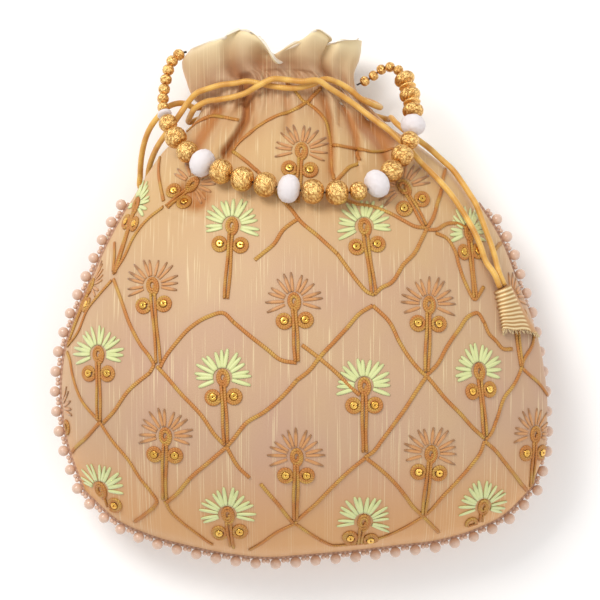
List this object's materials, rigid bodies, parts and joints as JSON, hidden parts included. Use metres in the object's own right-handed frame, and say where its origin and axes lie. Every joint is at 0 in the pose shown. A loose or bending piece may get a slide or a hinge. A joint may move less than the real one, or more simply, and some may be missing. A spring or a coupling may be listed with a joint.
{
  "type": "potli bag",
  "caption": "Drawstring pouch of embroidered silk, filled out and lying on its back, with a frilled mouth, pearl edging, cloth tassels and a handle of strung beads",
  "frame": {"origin": "on the flat patch of the back panel that the bag rests on", "axes": "+X to the bag's right as seen from the front, +Y from its bottom towards its mouth, +Z from the back panel to the front panel"},
  "size_m": [0.2289, 0.2444, 0.0816],
  "materials": {
    "embroidered_silk": "cream slub silk with a couched diamond lattice and stitched sprigs",
    "pearl": "pinkish beige imitation pearl",
    "satin_cord": "gold satin cord",
    "gold_brocade": "ribbed pale gold brocade ribbon, frayed at its hem",
    "antique_gold_bead": "antique gold, embossed",
    "frosted_white_bead": "frosted white",
    "dark_thread": "black waxed thread"
  },
  "bodies": {
    "bag": {"back_panel": "embroidered_silk", "drawcord_left": "satin_cord", "drawcord_right": "satin_cord", "front_panel": "embroidered_silk", "pearl_trim": "pearl", "tassel_left": "gold_brocade", "tassel_right": "gold_brocade"},
    "handle": {"bead_01_gold_small": "antique_gold_bead", "bead_02_gold_small": "antique_gold_bead", "bead_03_gold_small": "antique_gold_bead", "bead_04_gold_small": "antique_gold_bead", "bead_05_gold_small": "antique_gold_bead", "bead_06_gold_small": "antique_gold_bead", "bead_07_gold_small": "antique_gold_bead", "bead_08_white_disc": "frosted_white_bead", "bead_09_gold_medium": "antique_gold_bead", "bead_10_gold": "antique_gold_bead", "bead_11_gold": "antique_gold_bead", "bead_12_white": "frosted_white_bead", "bead_13_gold_large": "antique_gold_bead", "bead_14_gold_large": "antique_gold_bead", "bead_15_gold_large": "antique_gold_bead", "bead_16_white": "frosted_white_bead", "bead_17_gold_large": "antique_gold_bead", "bead_18_gold_large": "antique_gold_bead", "bead_19_gold_medium": "antique_gold_bead", "bead_20_white": "frosted_white_bead", "bead_21_gold": "antique_gold_bead", "bead_22_gold": "antique_gold_bead", "bead_23_gold_medium": "antique_gold_bead", "bead_24_white_round": "frosted_white_bead", "bead_25_gold_ring": "antique_gold_bead", "bead_26_gold_spacer": "antique_gold_bead", "bead_27_gold_ring": "antique_gold_bead", "bead_28_gold_spacer": "antique_gold_bead", "bead_29_gold_ring": "antique_gold_bead", "bead_30_gold_small": "antique_gold_bead", "bead_31_gold_small": "antique_gold_bead", "bead_32_gold_small": "antique_gold_bead", "bead_33_gold_small": "antique_gold_bead", "bead_34_gold_small": "antique_gold_bead", "handle_thread": "dark_thread"}
  },
  "joints": [
    {"name": "handle_swing", "type": "hinge", "parent": "bag", "child": "handle", "pos_m": [-0.05287, 0.15829, 0.02665], "axis": [-0.9815, 0.1915, 0.005], "range_deg": [0, 120]}
  ]
}
